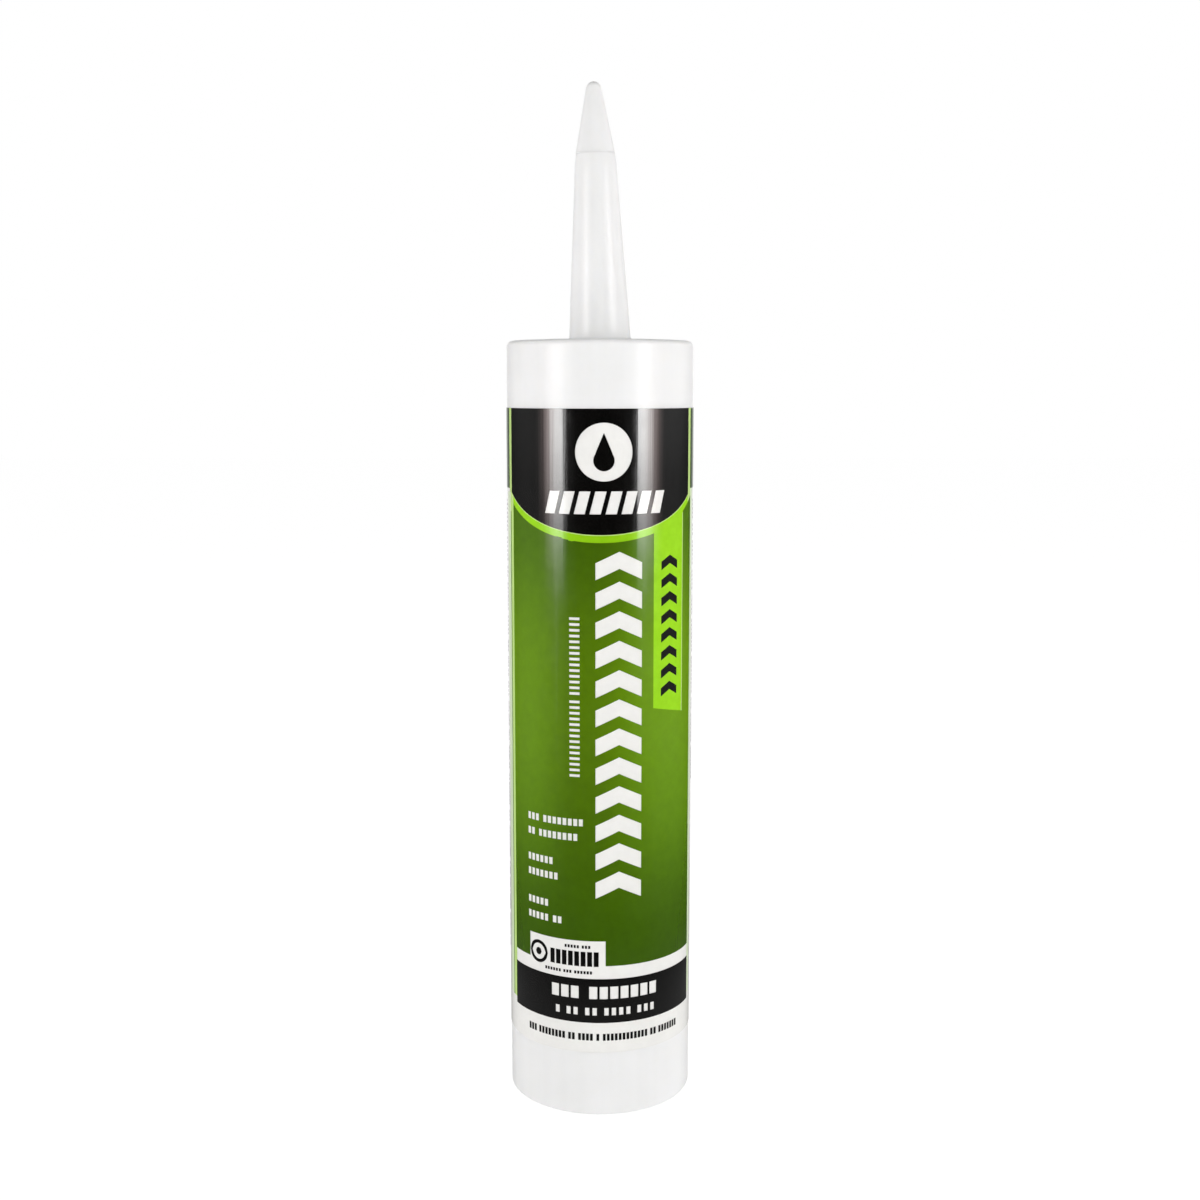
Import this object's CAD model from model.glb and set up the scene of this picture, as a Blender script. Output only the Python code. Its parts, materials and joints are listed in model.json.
import json
import math
import random

import bmesh
import bpy
from mathutils import Matrix, Vector, noise

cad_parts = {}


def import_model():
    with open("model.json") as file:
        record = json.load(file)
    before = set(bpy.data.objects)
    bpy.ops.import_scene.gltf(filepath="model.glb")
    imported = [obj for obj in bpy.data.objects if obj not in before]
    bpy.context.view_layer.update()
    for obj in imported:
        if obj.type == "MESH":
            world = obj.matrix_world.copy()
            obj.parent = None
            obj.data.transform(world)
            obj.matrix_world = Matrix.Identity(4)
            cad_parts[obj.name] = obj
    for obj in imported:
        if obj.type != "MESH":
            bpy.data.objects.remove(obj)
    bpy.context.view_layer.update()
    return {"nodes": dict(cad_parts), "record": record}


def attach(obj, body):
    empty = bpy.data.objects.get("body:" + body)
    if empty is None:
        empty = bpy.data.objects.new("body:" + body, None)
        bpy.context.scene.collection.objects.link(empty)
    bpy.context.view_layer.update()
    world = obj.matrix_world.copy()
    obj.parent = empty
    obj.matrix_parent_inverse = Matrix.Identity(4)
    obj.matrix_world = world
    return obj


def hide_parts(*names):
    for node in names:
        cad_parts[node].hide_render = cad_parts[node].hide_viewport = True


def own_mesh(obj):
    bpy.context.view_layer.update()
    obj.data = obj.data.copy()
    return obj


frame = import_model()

# Looks for a construction adhesive cartridge. Lengths are millimetres up to the point where a mesh is made,
# which turns them into metres. A place on the label is (along, up): the arc length from the middle of the
# front, positive towards +X, and the height above the rear rim.

MM = 0.001

# Moulding: barrel, head and nozzle
BARREL_R = 24.8
BORE_R = 23.35
BARREL_LENGTH = 205.0
HEAD_UNDERSIDE = 203.0
SHOULDER_ROUND = 1.4
RIM_ROUND = 0.3
MOUTH_R = 23.65
MOUTH_DEPTH = 10.0
LEAN_DEG = 1.45
NOZZLE_ROOT_R = 8.2
NOZZLE_TOP_R = 5.42
TAPER_LENGTH = 45.9
NOZZLE_WALL = 1.3
ROOT_FILLET = 1.0
ROOT_ROOM = 0.5            # the head's flat top starts this far outside the fillet, to allow for the lean
BAND_TOP = 48.1
BAND_TOP_R = 5.12
GROOVE_DEPTH = 0.12
GROOVE_WIDTH = 0.3
GROOVE_LIP = 0.03          # how far the groove's walls slope
GROOVE_SHADE = 0.87        # how light the plastic is in the groove's shadow, against the rest
GROOVE_SHADE_REACH = 0.42
CONE_TOP = 64.9
TIP_R = 2.0
BORE_TIP = 63.9
RIM_SINK = 0.05            # how far the barrel's outside sinks at most as the moulding cools
HEAD_SINK = 0.11           # and how much more the head's rim does
HEAD_SINK_REACH = 12.0
SINK_WAVES = 0.16          # waves of the sinking in a millimetre

# Label
LABEL_R = 25.0
SMALL_PRINT_R = (24.93, 24.97)
BORDERS_START = (-28.6, 29.3)          # where the pale borders start, left and right
OUTER_BORDERS_START = (-30.7, 31.5)    # and where the paler ones outside them do
THIN_LINE_END = -30.1                  # a dark line parts the two on the left
TAB_KEYLINE = (25.9, 26.3)
BELOW_STRIPE = 160.5
PANEL_TOP = 165.5
OUTER_BORDER = (-33.6, -31.3)
OUTER_BORDER_LOW = 27.5
SWEEP_CENTRE = (0.2, 205.6)
SWEEP_R = 50.0
KEYLINE_WIDTH = 0.2
LIME_SHADE = 0.8           # how light the lime is in its middle, against its sides
LIME_SHADE_REACH = (2.0, 15.0)
GREEN_RISES = (44.0, 112.0)            # heights between which the green grows lighter
GREEN_FALLS = (118.0, 165.0)           # heights between which it darkens again
GREEN_TOP = 0.1                        # what is left of the lighter green up there
GREEN_RIGHT_FADE = (-2.0, 16.0)        # it is lighter towards its sides, from these X to those
GREEN_RIGHT_TONE = (0.94, 1.6)
GREEN_LEFT_FADE = (-18.0, -6.0)
GREEN_LEFT_TONE = (1.5, 1.0)
GREEN_SIDES_RISE = (40.0, 85.0)        # heights between which its sides come in
EMBLEM_CENTRE = (1.0, 176.6)
EMBLEM_R = 7.4
ROUNDS = (                 # circles that the inks' curved edges follow: centre and radius
    (EMBLEM_CENTRE, EMBLEM_R),
    ((1.0, 174.5), 2.7),
    (SWEEP_CENTRE, SWEEP_R),
    ((0.2, 203.6), SWEEP_R),
)
ROUND_SLACK = 0.15
ROUND_SIDE = 0.7           # a face whose normal points outwards by this much lies on a cylinder

# Small print, in plain blocks: where each row starts, its middle and height, and the blocks in its groups
PLATE_RING = (-17.9, 43.5)
PLATE_RING_R = (2.2, 3.1)
PLATE_DOT_R = 1.0
RING_SLACK = 0.001         # square of the least thickness of a ring or disc, at its ends
PLATE_ROWS = (
    (-13.9, 43.3, 4.0, 1.75, 0.45, (8,)),
    (-9.6, 46.6, 0.8, 0.85, 0.3, (5, 3)),
    (-15.6, 39.6, 0.8, 0.85, 0.3, (6, 3, 6)),
)
FOOT_ROW = (-21.7, 21.8, 1.9, 1.07, 0.34, (3, 8, 2, 4, 1, 12, 2, 7))
GROUP_GAP = 0.6            # between groups, in blocks

# Lines of text, as bars: where each column starts and ends, and its low and high
RIGHT_TEXT = (36.2, 68.0, 86.0, 163.0)
LEFT_TEXT = (-74.5, -36.0, 42.0, 163.0)
TEXT_SEED = 7
LINE_PITCH = 1.15
LINE_HEIGHT = 0.5
LINE_REACHES = (0.7, 0.85, 0.93, 0.97, 1.0)
PARAGRAPH_LINES = (3, 9)
PARAGRAPH_GAP = 0.9        # in lines
WORD_LENGTHS = (1.2, 4.6)
WORD_GAP = 0.6
LAST_WORD = 1.5            # a line with less room than this is full

# Mesh fineness
RING_SIDES = 160
RING_STEP = 2.5
LABEL_CUTS = 90
EMBLEM_CUT_STEP = 0.6
MARK_STEP = 0.35
TINY = 1e-6                # a smaller radius is a point
SAME_PLACE = 1e-7          # corners this close, in metres, are one
CUT_DISTANCE = 1e-8
MOULDING_SHARP_DEG = 35
SMALL_SHARP_DEG = 30

# Studio, in metres and degrees
FLOOR_HALF = 4.0
FLOOR_DROP = 0.0002
LAMP_SIZE = (0.65, 0.56)
LAMP_DISTANCE = 1.0
LAMP_HEIGHT = 0.22
LAMP_FADE = (0.13, 0.42)   # shares of a lamp's height between which it comes up from dark
CAMERA_PLACE = (0.0, -0.415, 0.1921)
CAMERA_DOWN_DEG = 7.75
CAMERA_LENS_MM = 46.26
CAMERA_SENSOR_MM = 36.0

# A lamp's fall-off from its edge nearer the camera: share of its width, and colour there
LEFT_LAMP_STOPS = (
    (0.0, (1, 1, 1)),
    (0.33, (0.95, 0.93, 0.92)),
    (0.45, (0.7, 0.65, 0.64)),
    (0.57, (0.38, 0.32, 0.31)),
    (0.7, (0.14, 0.11, 0.105)),
    (0.82, (0.05, 0.038, 0.036)),
    (1.0, (0.01, 0.01, 0.01)),
)
RIGHT_LAMP_STOPS = (
    (0.0, (1, 1, 1)),
    (0.27, (1, 0.98, 0.97)),
    (0.42, (0.7, 0.66, 0.65)),
    (0.55, (0.46, 0.41, 0.4)),
    (0.65, (0.22, 0.18, 0.175)),
    (0.76, (0.1, 0.075, 0.07)),
    (0.88, (0.04, 0.033, 0.032)),
    (1.0, (0.012, 0.01, 0.01)),
)
LAMPS = (                  # name, turn from the front towards +X, power in watts, fall-off
    ("lamp_left", -62, 12.0, LEFT_LAMP_STOPS),
    ("lamp_right", 64, 12.8, RIGHT_LAMP_STOPS),
)


def srgb(red, green, blue):
    """A colour picked on screen (0 to 255) as the linear one that Blender takes."""
    def linear(value):
        value /= 255
        return value / 12.92 if value <= 0.04045 else ((value + 0.055) / 1.055) ** 2.4
    return (linear(red), linear(green), linear(blue), 1.0)


def link(name, mesh):
    piece = bpy.data.objects.new(name, mesh)
    bpy.context.scene.collection.objects.link(piece)
    return piece


# ---------------------------------------------------------------- materials


class Graph:
    """A node tree with short ways to add and join nodes."""

    def __init__(self, tree):
        self.tree = tree

    def add(self, kind, inputs=None, **settings):
        node = self.tree.nodes.new(kind)
        for key, value in settings.items():
            setattr(node, key, value)
        for key, value in (inputs or {}).items():
            if isinstance(value, bpy.types.NodeSocket):
                self.tree.links.new(value, node.inputs[key])
            else:
                node.inputs[key].default_value = value
        return node

    def math(self, operation, first, second=0.0):
        return self.add("ShaderNodeMath", {0: first, 1: second}, operation=operation).outputs[0]

    def noise(self, vector, scale, detail=2.0, roughness=0.5):
        inputs = {"Vector": vector, "Scale": scale, "Detail": detail, "Roughness": roughness}
        return self.add("ShaderNodeTexNoise", inputs).outputs["Fac"]

    def spread(self, value, low, high, to_low, to_high, smooth=False):
        """Maps a value's range low..high to to_low..to_high, and holds it there outside."""
        inputs = {"Value": value, "From Min": low, "From Max": high, "To Min": to_low, "To Max": to_high}
        kind = "SMOOTHSTEP" if smooth else "LINEAR"
        return self.add("ShaderNodeMapRange", inputs, interpolation_type=kind).outputs["Result"]

    def either(self, flag, off, on):
        """The second value where the flag is 1, and the first where it is 0."""
        return self.spread(flag, 0.0, 1.0, off, on)

    def parts(self, vector):
        """The X, Y and Z of a vector."""
        return self.add("ShaderNodeSeparateXYZ", {"Vector": vector}).outputs

    def grey(self, level):
        return self.add("ShaderNodeCombineColor", {"Red": level, "Green": level, "Blue": level}).outputs[0]

    def mix(self, factor, first, second, blend="MIX"):
        node = self.add("ShaderNodeMix", data_type="RGBA", blend_type=blend)
        sockets = {0: factor, 6: first, 7: second}
        for index, value in sockets.items():
            if isinstance(value, bpy.types.NodeSocket):
                self.tree.links.new(value, node.inputs[index])
            else:
                node.inputs[index].default_value = value
        return node.outputs[2]

    def stretched(self, vector, x, y, z):
        return self.add("ShaderNodeMapping", {"Vector": vector, "Scale": (x, y, z)}).outputs["Vector"]

    def bump(self, height, distance, strength=1.0, normal=None):
        inputs = {"Height": height, "Distance": distance, "Strength": strength}
        if normal is not None:
            inputs["Normal"] = normal
        return self.add("ShaderNodeBump", inputs).outputs["Normal"]


def material(name):
    """An empty material: its graph, its Principled shader and the position in metres."""
    made = bpy.data.materials.new(name)
    made.use_nodes = True
    graph = Graph(made.node_tree)
    shader = made.node_tree.nodes["Principled BSDF"]
    place = graph.add("ShaderNodeTexCoord").outputs["Object"]
    return made, graph, shader, place


def join(graph, shader, **sockets):
    for name, value in sockets.items():
        socket = shader.inputs[name.replace("_", " ")]
        if isinstance(value, bpy.types.NodeSocket):
            graph.tree.links.new(value, socket)
        else:
            socket.default_value = value


def toned(graph, colour, light):
    """The colour made lighter or darker by a factor."""
    return graph.mix(1.0, colour, graph.grey(light), "MULTIPLY")


def groove_tone(graph, place):
    """The factor that darkens the nozzle's plastic in and beside the fine groove under its tip."""
    lean = math.radians(LEAN_DEG)
    inputs = {0: place, 1: (-math.sin(lean), 0.0, math.cos(lean))}
    height = graph.add("ShaderNodeVectorMath", inputs, operation="DOT_PRODUCT").outputs["Value"]
    groove = (BARREL_LENGTH * math.cos(lean) + BAND_TOP + GROOVE_WIDTH / 2) * MM
    distance = graph.math("ABSOLUTE", graph.math("SUBTRACT", height, groove))
    return graph.spread(distance, 0.0, GROOVE_SHADE_REACH * MM, GROOVE_SHADE, 1.0)


def moulded_plastic(name, colour, shade, gloss_low, gloss_high, tone=None):
    """Moulded polyethylene: cloudy, faintly streaked along its length, with a fine soft grain. The tone is
    a function that makes a factor on its colour."""
    made, graph, shader, place = material(name)
    cloud = graph.noise(place, 70.0, 4.0)
    streak = graph.noise(graph.stretched(place, 260.0, 260.0, 12.0), 1.0, 3.0)
    tint = graph.math("ADD", graph.math("MULTIPLY", cloud, 0.6), graph.math("MULTIPLY", streak, 0.4))
    tint = graph.spread(tint, 0.35, 0.65, 0.0, 1.0)
    body = graph.mix(tint, shade, colour)
    if tone:
        body = toned(graph, body, tone(graph, place))
    grain = graph.bump(graph.noise(place, 2200.0, 2.0), 0.00001, 0.3)
    waves = graph.bump(graph.noise(place, 110.0, 1.0), 0.0002, 0.3, grain)
    join(
        graph, shader,
        Base_Color=body,
        Roughness=graph.spread(graph.noise(place, 240.0, 3.0), 0.3, 0.7, gloss_low, gloss_high),
        Normal=waves,
        Subsurface_Weight=0.3,
        Subsurface_Radius=(1.0, 0.95, 0.85),
        Subsurface_Scale=0.0025,
        Specular_IOR_Level=0.38,
    )
    return made


def label_gloss(graph, shader, place, colour):
    """The shine that all parts of the printed film share: tight and glossy, with faint upright ripples."""
    wide = graph.noise(graph.stretched(place, 420.0, 420.0, 9.0), 1.0, 2.0)
    fine = graph.noise(graph.stretched(place, 1500.0, 1500.0, 22.0), 1.0, 3.0)
    ripples = graph.bump(fine, 0.00003, 0.6, graph.bump(wide, 0.00004, 0.4))
    peel = graph.bump(graph.noise(place, 900.0, 2.0), 0.00001, 0.25, ripples)
    join(
        graph, shader,
        Base_Color=colour,
        Roughness=graph.spread(graph.math("ADD", graph.noise(place, 160.0, 4.0), fine), 0.7, 1.3, 0.1, 0.17),
        Normal=peel,
        Specular_IOR_Level=0.95,
    )


def ink_mottle(graph, place):
    """The slight mottle of ink on film, about 0.5."""
    return graph.noise(place, 380.0, 5.0, 0.65)


def mottled(graph, place, colour, shade):
    return graph.mix(graph.spread(ink_mottle(graph, place), 0.35, 0.65, 0.0, 1.0), shade, colour)


def flat_print(name, colour, shade):
    """One printed colour."""
    made, graph, shader, place = material(name)
    label_gloss(graph, shader, place, mottled(graph, place, colour, shade))
    return made


def bordered_print(name, colour, shade, pale, palest, thin):
    """Lime, darkest in the middle, with its trim: pale keylines along the top field and the tab, pale
    borders beside the panel and still paler ones outside them, on the left with a thin dark line between."""
    made, graph, shader, place = material(name)
    axes = graph.parts(place)
    turn = graph.math("ARCTAN2", axes["X"], graph.math("MULTIPLY", axes["Y"], -1.0))
    along = graph.math("MULTIPLY", turn, LABEL_R)
    up = graph.math("MULTIPLY", axes["Z"], 1 / MM)
    flat = graph.add("ShaderNodeCombineXYZ", {"X": along, "Y": up}).outputs[0]
    inputs = {0: flat, 1: (*SWEEP_CENTRE, 0.0)}
    from_centre = graph.add("ShaderNodeVectorMath", inputs, operation="DISTANCE").outputs["Value"]

    def below(value, limit):
        return graph.math("LESS_THAN", value, limit)

    def above(value, limit):
        return graph.math("GREATER_THAN", value, limit)

    def both(first, second):
        return graph.math("MULTIPLY", first, second)

    lower = below(up, BELOW_STRIPE)
    zones = (
        (below(from_centre, SWEEP_R + KEYLINE_WIDTH), pale),
        (both(both(above(along, TAB_KEYLINE[0]), below(along, TAB_KEYLINE[1])), lower), pale),
        (below(along, BORDERS_START[0]), pale),
        (above(along, BORDERS_START[1]), pale),
        (both(below(along, THIN_LINE_END), lower), thin),
        (both(below(along, OUTER_BORDERS_START[0]), below(up, PANEL_TOP)), palest),
        (above(along, OUTER_BORDERS_START[1]), palest),
    )
    middle, side = (reach * MM for reach in LIME_SHADE_REACH)
    light = graph.spread(graph.math("ABSOLUTE", axes["X"]), middle, side, LIME_SHADE, 1.0, smooth=True)
    body = toned(graph, mottled(graph, place, colour, shade), light)
    for zone, tint in zones:
        body = graph.mix(zone, body, tint)
    label_gloss(graph, shader, place, body)
    return made


def faded_print(name, dark, colour):
    """Green that is printed darker towards the field's top and bottom and lighter towards its sides."""
    made, graph, shader, place = material(name)
    axes = graph.parts(place)

    def fade(axis, span, first, last):
        return graph.spread(axes[axis], span[0] * MM, span[1] * MM, first, last, smooth=True)

    rising = fade("Z", GREEN_RISES, 0.0, 1.0)
    falling = fade("Z", GREEN_FALLS, 1.0, GREEN_TOP)
    body = graph.mix(graph.math("MULTIPLY", rising, falling), dark, colour)
    right = fade("X", GREEN_RIGHT_FADE, *GREEN_RIGHT_TONE)
    left = fade("X", GREEN_LEFT_FADE, *GREEN_LEFT_TONE)
    sides = fade("Z", GREEN_SIDES_RISE, 1.0, graph.math("MULTIPLY", left, right))
    mottle = graph.spread(ink_mottle(graph, place), 0.3, 0.7, 0.92, 1.05)
    label_gloss(graph, shader, place, toned(graph, body, graph.math("MULTIPLY", sides, mottle)))
    return made


def paste():
    made, graph, shader, place = material("adhesive_paste")
    lumps = graph.noise(place, 300.0, 5.0)
    join(
        graph, shader,
        Base_Color=graph.mix(lumps, srgb(188, 174, 146), srgb(214, 202, 176)),
        Roughness=graph.spread(lumps, 0.3, 0.7, 0.35, 0.55),
        Normal=graph.bump(lumps, 0.0004),
    )
    return made


MATERIALS = {
    "white_plastic": moulded_plastic(
        "white_plastic", srgb(245, 247, 247), srgb(240, 242, 241), 0.29, 0.36, groove_tone),
    "plunger_plastic": moulded_plastic(
        "plunger_plastic", srgb(226, 225, 218), srgb(216, 215, 207), 0.4, 0.5),
    "adhesive_paste": paste(),
    "label_white": flat_print("label_white", srgb(247, 248, 245), srgb(243, 244, 241)),
    "label_black": flat_print("label_black", srgb(7, 7, 6), srgb(12, 11, 10)),
    "label_green": faded_print("label_green", srgb(60, 94, 3), srgb(88, 126, 2)),
    "label_lime": bordered_print(
        "label_lime", srgb(162, 228, 22), srgb(153, 220, 16), srgb(204, 236, 146), srgb(232, 250, 214),
        srgb(104, 144, 50)),
    "label_dark_green": flat_print("label_dark_green", srgb(46, 74, 30), srgb(38, 64, 26)),
}


def dress(piece, slot):
    piece.data.materials.clear()
    piece.data.materials.append(MATERIALS[slot])


# ---------------------------------------------------------------- moulding


def arc(centre, radius, start_deg, end_deg, steps=8):
    """(radius, height) points along an arc in the profile's plane. 0 degrees is outwards, 90 is up."""
    turns = [math.radians(start_deg + (end_deg - start_deg) * i / steps) for i in range(steps + 1)]
    return [(centre[0] + radius * math.cos(turn), centre[1] + radius * math.sin(turn)) for turn in turns]


def evened(points):
    """The profile with its long straight runs divided into short ones."""
    out = [points[0]]
    for start, end in zip(points, points[1:]):
        pieces = max(1, round(math.dist(start, end) / RING_STEP))
        out += [tuple(a + (b - a) * i / pieces for a, b in zip(start, end)) for i in range(1, pieces + 1)]
    return out


def leaned(point):
    """A point of the upright nozzle, with the head's top at height 0, put on the head along its axis."""
    return Matrix.Rotation(math.radians(-LEAN_DEG), 3, "Y") @ point + Vector((0, 0, BARREL_LENGTH))


def rings_mesh(name, rings):
    """A skin through rings, each given as its radius, its height and the function that puts it in place."""
    bm = bmesh.new()
    previous = None
    for radius, height, put in rings:
        if radius < TINY:
            ring = [bm.verts.new(put(Vector((0, 0, height))))] * RING_SIDES
        else:
            turns = [2 * math.pi * i / RING_SIDES for i in range(RING_SIDES)]
            ring = [
                bm.verts.new(put(Vector((radius * math.cos(turn), radius * math.sin(turn), height))))
                for turn in turns
            ]
        if previous:
            for i in range(RING_SIDES):
                j = (i + 1) % RING_SIDES
                corners = dict.fromkeys([previous[i], previous[j], ring[j], ring[i]])
                bm.faces.new(corners)
        previous = ring
    bmesh.ops.recalc_face_normals(bm, faces=bm.faces)
    bmesh.ops.scale(bm, vec=(MM, MM, MM), verts=bm.verts)
    mesh = bpy.data.meshes.new(name)
    bm.to_mesh(mesh)
    bm.free()
    mesh.shade_smooth()
    mesh.set_sharp_from_angle(angle=math.radians(MOULDING_SHARP_DEG))
    return mesh


def cooled(point):
    """The barrel sinks a little unevenly as the moulding cools, and the head's rim most."""
    near_head = max(0.0, 1 - (BARREL_LENGTH - point.z) / HEAD_SINK_REACH)
    outward = math.hypot(point.x, point.y) / BARREL_R
    unevenness = 0.5 + 0.5 * noise.noise(point * SINK_WAVES)
    sink = (RIM_SINK + HEAD_SINK * near_head ** 2) * unevenness * outward ** 4
    shrink = 1 - sink / BARREL_R
    return Vector((point.x * shrink, point.y * shrink, point.z - sink * near_head))


def moulding():
    """The barrel, head and closed nozzle, outside and inside, in one skin."""
    def taper_r(height):
        return NOZZLE_ROOT_R + (NOZZLE_TOP_R - NOZZLE_ROOT_R) * height / TAPER_LENGTH

    slope = math.atan2(BAND_TOP_R - TIP_R, CONE_TOP - BAND_TOP - GROOVE_WIDTH)
    dome_r = TIP_R / math.cos(slope)
    dome = arc((0, CONE_TOP - dome_r * math.sin(slope)), dome_r, math.degrees(slope), 90)
    nozzle = [
        (taper_r(ROOT_FILLET), ROOT_FILLET),
        (NOZZLE_TOP_R, TAPER_LENGTH),
        (BAND_TOP_R, BAND_TOP),
        (BAND_TOP_R - GROOVE_DEPTH, BAND_TOP + GROOVE_LIP),
        (BAND_TOP_R - GROOVE_DEPTH, BAND_TOP + GROOVE_WIDTH - GROOVE_LIP),
        (BAND_TOP_R, BAND_TOP + GROOVE_WIDTH),
    ]
    root = arc((NOZZLE_ROOT_R + ROOT_FILLET, ROOT_FILLET), ROOT_FILLET, 270, 180, 6)[:-1]
    outside = [
        (NOZZLE_ROOT_R + ROOT_FILLET + ROOT_ROOM, BARREL_LENGTH),
        *arc((BARREL_R - SHOULDER_ROUND, BARREL_LENGTH - SHOULDER_ROUND), SHOULDER_ROUND, 90, 0),
        *arc((BARREL_R - RIM_ROUND, RIM_ROUND), RIM_ROUND, 0, -90, 4),
    ]
    inside = [
        (MOUTH_R, 0.0),
        (MOUTH_R, MOUTH_DEPTH),
        (BORE_R, MOUTH_DEPTH + MOUTH_R - BORE_R),
        (BORE_R, HEAD_UNDERSIDE),
        (NOZZLE_ROOT_R, HEAD_UNDERSIDE),
    ]
    in_head = (HEAD_UNDERSIDE - BARREL_LENGTH) / 2
    nozzle_inside = [
        (taper_r(in_head) - NOZZLE_WALL, in_head),
        (NOZZLE_TOP_R - NOZZLE_WALL, TAPER_LENGTH),
        (BAND_TOP_R - GROOVE_DEPTH - NOZZLE_WALL, BAND_TOP),
        (TIP_R - NOZZLE_WALL, BORE_TIP),
        (0.0, BORE_TIP),
    ]
    rings = [(*point, leaned) for point in dome[::-1] + evened(nozzle[::-1]) + root[::-1]]
    rings += [(*point, cooled) for point in evened(outside)]
    rings += [(*point, lambda place: place) for point in evened(inside)]
    rings += [(*point, leaned) for point in evened(nozzle_inside)]
    piece = link("moulding", rings_mesh("moulding", rings))
    dress(piece, "white_plastic")
    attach(piece, "cartridge")
    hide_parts("cartridge_body")


# ---------------------------------------------------------------- label


def radial(point):
    return Vector((point.x, point.y, 0)).normalized()


def rounded(point):
    """Moves a point of an ink's edge that lies close to one of the label's circles onto that circle."""
    distance = math.hypot(point.x, point.y)
    place = Vector((math.atan2(point.x, -point.y) * LABEL_R, point.z / MM))
    for centre, radius in ROUNDS:
        offset = place - Vector(centre)
        if abs(offset.length - radius) < ROUND_SLACK:
            along, up = Vector(centre) + offset * (radius / offset.length)
            turn = along / LABEL_R
            return Vector((distance * math.sin(turn), -distance * math.cos(turn), up * MM))
    return point


def finely_wrapped(node):
    """A copy of a label node's mesh, cut into narrow upright strips that lie on the true cylinders."""
    bm = bmesh.new()
    bm.from_mesh(frame["nodes"][node].data)
    bmesh.ops.remove_doubles(bm, verts=bm.verts, dist=SAME_PLACE)
    bm.normal_update()
    # the radius that a curved face lies on, negative if it faces inwards, and 0 for an edge face
    true_r = bm.faces.layers.float.new("true_r")
    for face in bm.faces:
        outward = face.normal.dot(radial(face.calc_center_median()))
        corner = face.verts[0].co
        radius = math.copysign(math.hypot(corner.x, corner.y), outward)
        face[true_r] = radius if abs(outward) > ROUND_SIDE else 0.0
    turns = [math.pi * (index + 0.5) / LABEL_CUTS for index in range(LABEL_CUTS)]
    planes = [(Vector(), Vector((math.cos(turn), math.sin(turn), 0))) for turn in turns]
    if node == "print_black":
        steps = round(2 * EMBLEM_R / EMBLEM_CUT_STEP)
        levels = [EMBLEM_CENTRE[1] - EMBLEM_R + (i + 0.5) * EMBLEM_CUT_STEP for i in range(steps)]
        planes += [(Vector((0, 0, level * MM)), Vector((0, 0, 1))) for level in levels]
    for place, normal in planes:
        everything = bm.verts[:] + bm.edges[:] + bm.faces[:]
        bmesh.ops.bisect_plane(bm, geom=everything, dist=CUT_DISTANCE, plane_co=place, plane_no=normal)
    for vert in bm.verts:
        radii = [abs(face[true_r]) for face in vert.link_faces if face[true_r]]
        if radii:
            vert.co.xy = radial(vert.co).xy * max(radii)
        if len(radii) < len(vert.link_faces):
            vert.co = rounded(vert.co)
    normals = []
    for face in bm.faces:
        side = math.copysign(1, face[true_r])
        flat = face.normal.copy()
        normals += [radial(corner.co) * side if face[true_r] else flat for corner in face.verts]
    mesh = bpy.data.meshes.new(node)
    bm.to_mesh(mesh)
    bm.free()
    mesh.shade_smooth()
    mesh.normals_split_custom_set(normals)
    return mesh


def label():
    for node in ("label_film", "print_black", "print_green", "print_lime", "print_dark_green"):
        piece = link("fine_" + node, finely_wrapped(node))
        slot = next(part["material_slot"] for part in frame["record"]["subparts"] if part["node"] == node)
        dress(piece, slot)
        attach(piece, "cartridge")
        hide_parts(node)


def marks_piece(name, slot, marks):
    """One piece of many small marks on the white film. Each mark is (left, right, edges), and edges
    gives its low and high at a place along."""
    bm = bmesh.new()
    for left, right, edges in marks:
        columns = max(1, math.ceil((right - left) / MARK_STEP))
        loops = []
        for index in range(columns + 1):
            along = left + (right - left) * index / columns
            out = Vector((math.sin(along / LABEL_R), -math.cos(along / LABEL_R), 0))
            low, high = edges(along)
            inner, outer = SMALL_PRINT_R
            loops.append([
                bm.verts.new((out * radius + Vector((0, 0, up))) * MM)
                for radius, up in ((outer, low), (outer, high), (inner, high), (inner, low))
            ])
        for first, second in zip(loops, loops[1:]):
            for i in range(4):
                j = (i + 1) % 4
                bm.faces.new((first[i], second[i], second[j], first[j]))
        bm.faces.new(loops[0])
        bm.faces.new(reversed(loops[-1]))
    bmesh.ops.recalc_face_normals(bm, faces=bm.faces)
    mesh = bpy.data.meshes.new(name)
    bm.to_mesh(mesh)
    bm.free()
    mesh.shade_smooth()
    mesh.set_sharp_from_angle(angle=math.radians(SMALL_SHARP_DEG))
    piece = link(name, mesh)
    dress(piece, slot)
    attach(piece, "cartridge")


def block(left, right, middle, height):
    return left, right, lambda along: (middle - height / 2, middle + height / 2)


def blocks_row(start, middle, height, pitch, gap, groups):
    """A row of blocks in groups, which are parted by a space."""
    for group in groups:
        for index in range(group):
            left = start + index * pitch
            yield block(left, left + pitch - gap, middle, height)
        start += (group + GROUP_GAP) * pitch


def half_ring(centre, inner_r, outer_r, side):
    """The upper (side 1) or lower (side -1) half of a ring, or of a disc if inner_r is 0."""
    def edges(along):
        across = along - centre[0]
        near = math.sqrt(max(inner_r ** 2 - across ** 2, 0.0))
        far = math.sqrt(max(outer_r ** 2 - across ** 2, near ** 2 + RING_SLACK))
        return sorted((centre[1] + side * near, centre[1] + side * far))
    return centre[0] - outer_r, centre[0] + outer_r, edges


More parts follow.
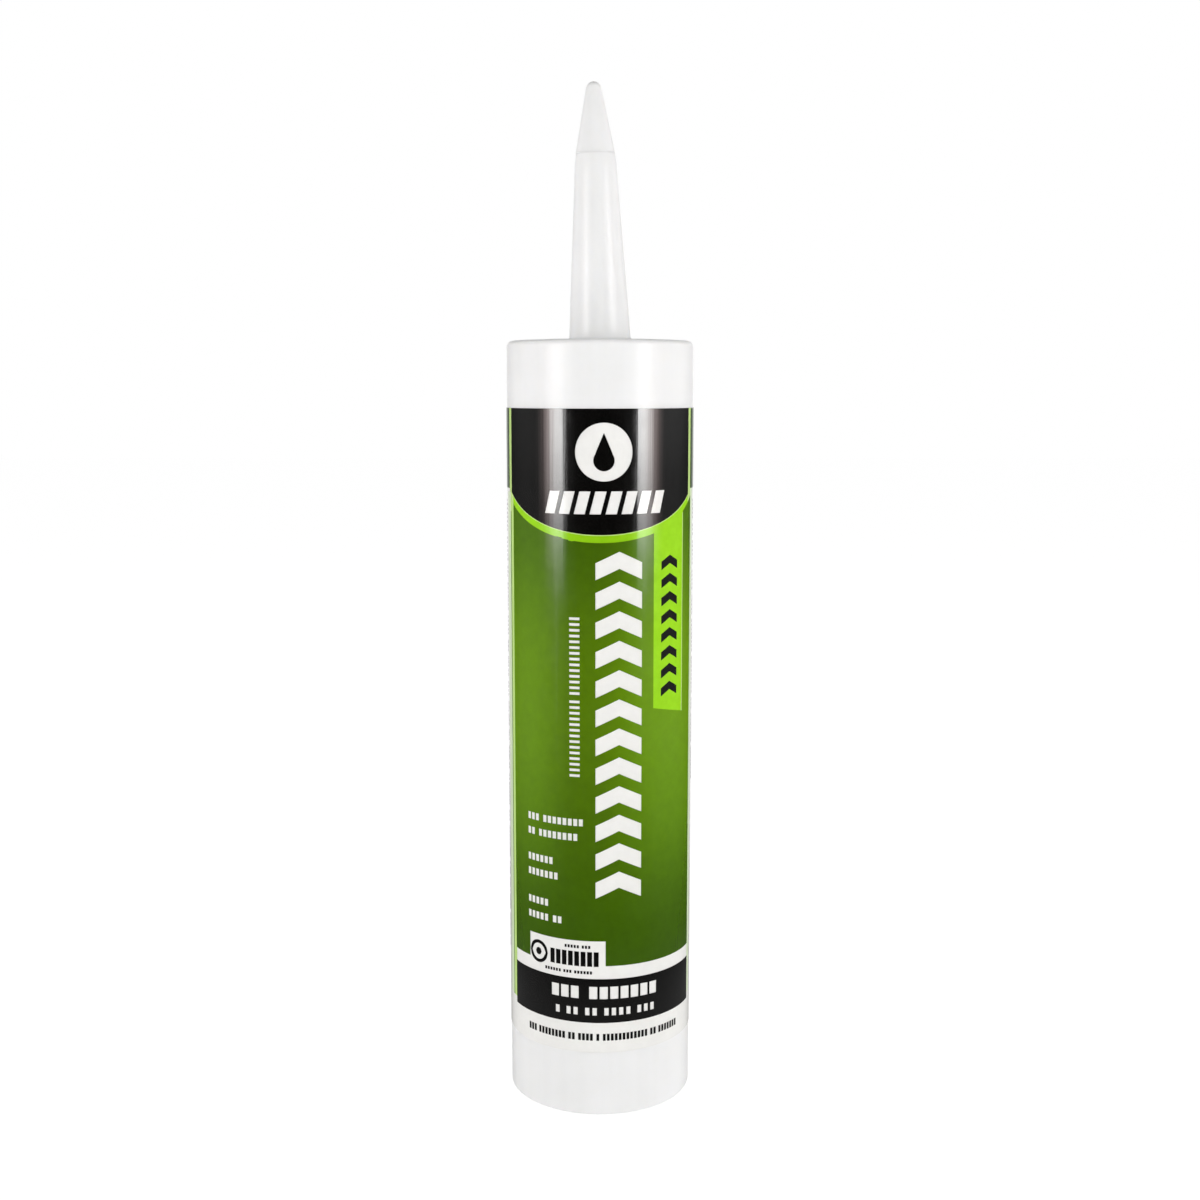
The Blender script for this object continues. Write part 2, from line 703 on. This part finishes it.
def text_lines(left, right, low, high, draw, flush_left):
    """Lines of plain bars that stand for words, in paragraphs of uneven length."""
    up = high
    while up > low:
        for _ in range(draw.randint(*PARAGRAPH_LINES)):
            reach = (right - left) * draw.choice(LINE_REACHES)
            start = left if flush_left else right - reach
            end = start + reach
            while end - start > LAST_WORD:
                word = min(draw.uniform(*WORD_LENGTHS), end - start)
                yield block(start, start + word, up, LINE_HEIGHT)
                start += word + WORD_GAP
            up -= LINE_PITCH
        up -= LINE_PITCH * PARAGRAPH_GAP


def small_print():
    draw = random.Random(TEXT_SEED)
    plate = [half_ring(PLATE_RING, *PLATE_RING_R, side) for side in (1, -1)]
    plate += [half_ring(PLATE_RING, 0.0, PLATE_DOT_R, side) for side in (1, -1)]
    for row in PLATE_ROWS:
        plate += blocks_row(*row)
    marks_piece("plate_mark", "label_black", plate)
    marks_piece("foot_row", "label_black", blocks_row(*FOOT_ROW))
    marks_piece("right_text", "label_black", text_lines(*RIGHT_TEXT, draw, True))
    marks_piece("left_text", "label_black", text_lines(*LEFT_TEXT, draw, False))
    border = block(*OUTER_BORDER, (OUTER_BORDER_LOW + PANEL_TOP) / 2, PANEL_TOP - OUTER_BORDER_LOW)
    marks_piece("outer_border", "label_lime", [border])


# ---------------------------------------------------------------- inside


def inside():
    """The plunger keeps its CAD shape. The paste flattens towards the head as the plunger comes up."""
    plunger = frame["nodes"]["plunger"]
    dress(plunger, "plunger_plastic")
    plunger.data.shade_smooth()
    plunger.data.set_sharp_from_angle(angle=math.radians(SMALL_SHARP_DEG))
    fill = link("paste_fill", frame["nodes"]["adhesive"].data.copy())
    dress(fill, "adhesive_paste")
    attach(fill, "cartridge")
    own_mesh(fill)
    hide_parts("adhesive")


# ---------------------------------------------------------------- studio


def room_light(graph, direction, left, right):
    """What sharp reflections see round the object: a dark room, lit a little at its left and right, and
    white behind the object, so that the black print stays black between the lamps."""
    axes = graph.parts(direction)
    beside = graph.math("POWER", graph.math("ABSOLUTE", axes["X"]), 4.0)
    beside = graph.math("MULTIPLY", beside, graph.spread(axes["X"], -1.0, 1.0, left, right))
    behind = graph.spread(axes["Y"], 0.84, 1.0, 0.01, 0.9, smooth=True)
    return graph.math("ADD", beside, behind)


def floor():
    """White to the camera, with the object's faint shadow, and pale to soft light, which also rises from
    it near the object. Sharp reflections see the room on it. From below it is clear."""
    mesh = bpy.data.meshes.new("floor")
    corners = [(x * FLOOR_HALF, y * FLOOR_HALF, 0) for x, y in ((-1, -1), (1, -1), (1, 1), (-1, 1))]
    mesh.from_pydata(corners, [], [(0, 1, 2, 3)])
    piece = link("floor", mesh)
    made = bpy.data.materials.new("floor")
    made.use_nodes = True
    graph = Graph(made.node_tree)
    made.node_tree.nodes.remove(made.node_tree.nodes["Principled BSDF"])
    place = graph.add("ShaderNodeTexCoord").outputs["Object"]
    outward = graph.add("ShaderNodeVectorMath", {0: place}, operation="NORMALIZE").outputs[0]
    distance = graph.add("ShaderNodeVectorMath", {0: place}, operation="LENGTH").outputs["Value"]
    rays = graph.add("ShaderNodeLightPath").outputs
    # paint, which shows light and shadow: pale to soft light, darker to the camera, black to reflections
    shade = graph.either(rays["Is Camera Ray"], 0.97, 0.3)
    shade = graph.either(rays["Is Glossy Ray"], shade, 0.0)
    paint = graph.add("ShaderNodeBsdfDiffuse", {"Color": graph.grey(shade)})
    # glow: what soft light, reflections and the camera each get from the floor by itself
    rising = graph.spread(distance, 0.0, 0.9, 0.16, 0.0, smooth=True)
    farther = graph.spread(distance, 0.12, 0.5, 0.3, 1.0, smooth=True)
    nearby = graph.spread(distance, 0.08, 0.16, 0.11, 0.0, smooth=True)
    room = graph.math("MULTIPLY", room_light(graph, outward, 0.13, 0.14), farther)
    level = graph.either(rays["Is Diffuse Ray"], 0.0, rising)
    level = graph.either(rays["Is Glossy Ray"], level, graph.math("ADD", room, nearby))
    level = graph.either(rays["Is Camera Ray"], level, 0.86)
    glow = graph.add("ShaderNodeEmission", {"Strength": level})
    both = graph.add("ShaderNodeAddShader", {0: glow.outputs[0], 1: paint.outputs[0]}).outputs[0]
    clear = graph.add("ShaderNodeBsdfTransparent").outputs[0]
    below = graph.add("ShaderNodeNewGeometry").outputs["Backfacing"]
    surface = graph.add("ShaderNodeMixShader", {0: below, 1: both, 2: clear}).outputs[0]
    made.node_tree.links.new(surface, made.node_tree.nodes["Material Output"].inputs["Surface"])
    mesh.materials.append(made)
    piece.location.z = -FLOOR_DROP


def world():
    """White to the camera, with soft fill light all round that is stronger from behind the object."""
    made = bpy.data.worlds.new("studio")
    bpy.context.scene.world = made
    made.use_nodes = True
    graph = Graph(made.node_tree)
    background = made.node_tree.nodes["Background"]
    direction = graph.add("ShaderNodeTexCoord").outputs["Generated"]
    axes = graph.parts(direction)
    # two soft lobes, aslant behind the object at either side, light the edges of the barrel
    across = graph.math("MULTIPLY", graph.math("ABSOLUTE", axes["X"]), 0.75)
    slanting = graph.math("ADD", across, graph.math("MULTIPLY", axes["Y"], 0.66))
    lobes = graph.math("POWER", graph.math("MAXIMUM", slanting, 0.0), 4.0)
    lobes = graph.math("MULTIPLY", lobes, graph.spread(axes["Z"], 0.0, 0.7, 1.7, 0.65))
    fill = graph.math("ADD", graph.spread(axes["Y"], 0.0, 1.0, 0.41, 0.92), lobes)
    fill = graph.math("MULTIPLY", fill, graph.spread(axes["Z"], -0.1, 1.0, 1.0, 0.48))
    fill = graph.math("MULTIPLY", fill, graph.spread(axes["X"], -1.0, 1.0, 0.96, 1.16))
    rays = graph.add("ShaderNodeLightPath").outputs
    light = graph.either(rays["Is Glossy Ray"], fill, room_light(graph, direction, 0.2, 0.32))
    light = graph.either(rays["Is Camera Ray"], light, 1.0)
    background.inputs["Color"].default_value = (1, 1, 1, 1)
    made.node_tree.links.new(light, background.inputs["Strength"])


def softbox(name, azimuth_deg, power, stops):
    """An upright soft lamp, brightest along the edge nearer the camera."""
    data = bpy.data.lights.new(name, "AREA")
    data.shape = "RECTANGLE"
    data.size, data.size_y = LAMP_SIZE
    data.energy = power
    data.use_nodes = True
    graph = Graph(data.node_tree)
    axes = graph.parts(graph.add("ShaderNodeNewGeometry").outputs["Parametric"])
    sideways = axes["X"] if azimuth_deg > 0 else graph.math("SUBTRACT", 1.0, axes["X"])
    ramp = graph.add("ShaderNodeValToRGB", {"Fac": sideways})
    ramp.color_ramp.elements.remove(ramp.color_ramp.elements[1])
    ramp.color_ramp.elements[0].position = stops[0][0]
    ramp.color_ramp.elements[0].color = (*stops[0][1], 1)
    for position, colour in stops[1:]:
        ramp.color_ramp.elements.new(position).color = (*colour, 1)
    upper = graph.spread(axes["Y"], *LAMP_FADE, 0.0, 1.0, smooth=True)
    emission = data.node_tree.nodes["Emission"]
    data.node_tree.links.new(ramp.outputs["Color"], emission.inputs["Color"])
    data.node_tree.links.new(upper, emission.inputs["Strength"])
    lamp = link(name, data)
    azimuth = math.radians(azimuth_deg)
    lamp.location = (LAMP_DISTANCE * math.sin(azimuth), -LAMP_DISTANCE * math.cos(azimuth), LAMP_HEIGHT)
    lamp.rotation_euler = (math.radians(90), 0, azimuth)


def camera():
    data = bpy.data.cameras.new("camera")
    data.sensor_width = CAMERA_SENSOR_MM
    data.lens = CAMERA_LENS_MM
    piece = link("camera", data)
    piece.location = CAMERA_PLACE
    piece.rotation_euler = (math.radians(90 - CAMERA_DOWN_DEG), 0, 0)
    bpy.context.scene.camera = piece


def studio():
    floor()
    world()
    for lamp in LAMPS:
        softbox(*lamp)
    bpy.context.scene.view_settings.view_transform = "Standard"
    camera()


moulding()
label()
small_print()
inside()
studio()
